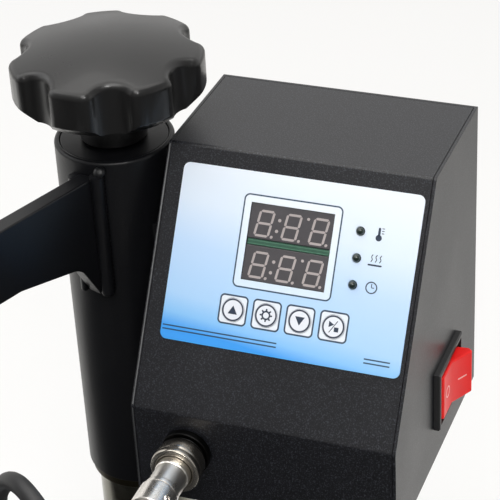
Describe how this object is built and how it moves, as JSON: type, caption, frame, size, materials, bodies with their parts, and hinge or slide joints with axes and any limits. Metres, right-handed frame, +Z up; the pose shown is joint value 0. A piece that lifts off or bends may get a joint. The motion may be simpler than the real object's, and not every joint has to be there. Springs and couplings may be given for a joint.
{
  "type": "rotary heat press",
  "caption": "Swing-away heat press: round column and sleeve with star knob, flat arm, toggle press head, heated platen over a padded table, and a sloped control box.",
  "frame": {"origin": "centre of the base's outline, on the bench top", "axes": "+Z up, +X to the machine's right, -Y to the front, where the operator stands"},
  "size_m": [0.3072, 0.41, 0.5703],
  "materials": {
    "frame_black": "fine powder coat",
    "plastic_black": "satin",
    "rubber_black": "matt",
    "bright_steel": "ground",
    "zinc_screws": "zinc plated",
    "table_steel": "ground",
    "pad_silicone": "foam",
    "bronze": "oiled bronze",
    "cover_paint": "powder coat",
    "platen_aluminium": "coated",
    "insulation_wool": "mineral wool",
    "box_paint": "fine powder coat",
    "label_print": "printed film",
    "display": "seven-segment modules",
    "lamp": "dark domes",
    "board": "circuit board",
    "key": "satin",
    "switch_black": "satin",
    "switch_red": "translucent red",
    "nickel": "nickel plated",
    "cable_black": "silicone sheath"
  },
  "bodies": {
    "base": {"base_runner_left": "frame_black", "base_runner_right": "frame_black", "table_cross_tubes": "frame_black", "column_cross_tubes": "frame_black", "base_end_caps": "plastic_black", "rubber_feet": "rubber_black", "column_flange": "frame_black", "column_post": "bright_steel", "flange_bolts": "zinc_screws", "table_pedestal": "frame_black", "table_bolts": "zinc_screws", "lower_table": "table_steel", "silicone_pad": "pad_silicone", "lead_nut": "bronze"},
    "lift": {"thrust_washer": "bronze"},
    "knob": {"adjusting_screw": "bright_steel", "knob_hub": "bright_steel", "knob": "plastic_black"},
    "arm": {"sleeve_tube": "frame_black", "arm_bushes": "bronze", "sleeve_cap": "frame_black", "arm_plate": "frame_black", "arm_welds": "frame_black", "head_guide": "frame_black", "handle_bracket": "frame_black", "pivot_pin": "bright_steel", "box_wrap": "box_paint", "box_body": "box_paint", "box_screws": "zinc_screws", "box_bracket": "frame_black", "panel_label": "label_print", "display_modules": "display", "indicator_lamps": "lamp", "display_board": "board", "power_board": "board", "switch_housing": "switch_black", "mains_inlet": "switch_black", "panel_socket": "nickel", "cable_plug": "nickel", "heater_cable": "cable_black"},
    "start_button": {"key_start": "key"},
    "down_button": {"key_down": "key"},
    "set_button": {"key_set": "key"},
    "up_button": {"key_up": "key"},
    "rocker": {"switch_rocker": "switch_red"},
    "handle": {"handle_hub": "bright_steel", "handle_bar": "bright_steel", "handle_grip": "rubber_black", "link_pin": "bright_steel"},
    "link": {"toggle_link": "bright_steel"},
    "head": {"plunger": "bright_steel", "plunger_pin": "bright_steel", "head_flange": "frame_black", "head_bolts": "zinc_screws", "heater_cover": "cover_paint", "cover_screws": "zinc_screws", "insulation": "insulation_wool", "heating_element": "bright_steel", "heating_platen": "platen_aluminium", "cable_gland": "switch_black"}
  },
  "joints": [
    {"name": "arm_height", "type": "slide", "parent": "base", "child": "lift", "axis": [0, 0, 1], "range_m": [-0.008, 0.012]},
    {"name": "knob_turn", "type": "hinge", "parent": "lift", "child": "knob", "pos_m": [0, 0.11, 0.36], "axis": [0, 0, 1], "range_deg": [-1153, 1729]},
    {"name": "arm_swing", "type": "hinge", "parent": "lift", "child": "arm", "pos_m": [0, 0.11, 0.3], "axis": [0, 0, 1], "range_deg": [-120, 120]},
    {"name": "handle_turn", "type": "hinge", "parent": "arm", "child": "handle", "pos_m": [0, -0.075, 0.356], "axis": [1, 0, 0], "range_deg": [0, 80]},
    {"name": "link_swing", "type": "hinge", "parent": "handle", "child": "link", "pos_m": [0, -0.087, 0.356], "axis": [1, 0, 0], "range_deg": [-92, 2]},
    {"name": "head_slide", "type": "slide", "parent": "arm", "child": "head", "axis": [0, 0, -1], "range_m": [0, 0.0135]},
    {"name": "rocker_tip", "type": "hinge", "parent": "arm", "child": "rocker", "pos_m": [0.11784, 0.15757, 0.2495], "axis": [0, 0, 1], "range_deg": [0, 29]},
    {"name": "start_press", "type": "slide", "parent": "arm", "child": "start_button", "axis": [-0.2903, 0.7977, -0.5285], "range_m": [0, 0.0004], "stiffness_N_per_m": 1500, "springref_m": -0.0002},
    {"name": "down_press", "type": "slide", "parent": "arm", "child": "down_button", "axis": [-0.2903, 0.7977, -0.5285], "range_m": [0, 0.0004], "stiffness_N_per_m": 1500, "springref_m": -0.0002},
    {"name": "set_press", "type": "slide", "parent": "arm", "child": "set_button", "axis": [-0.2903, 0.7977, -0.5285], "range_m": [0, 0.0004], "stiffness_N_per_m": 1500, "springref_m": -0.0002},
    {"name": "up_press", "type": "slide", "parent": "arm", "child": "up_button", "axis": [-0.2903, 0.7977, -0.5285], "range_m": [0, 0.0004], "stiffness_N_per_m": 1500, "springref_m": -0.0002}
  ],
  "couplings": [
    {"joint": "knob_turn", "follows": "arm_height", "rad_per_m": 2513.3},
    {"joint": "link_swing", "follows": "handle_turn", "ratio": -1.1145},
    {"joint": "head_slide", "follows": "handle_turn", "m_per_rad": 0.009439}
  ]
}
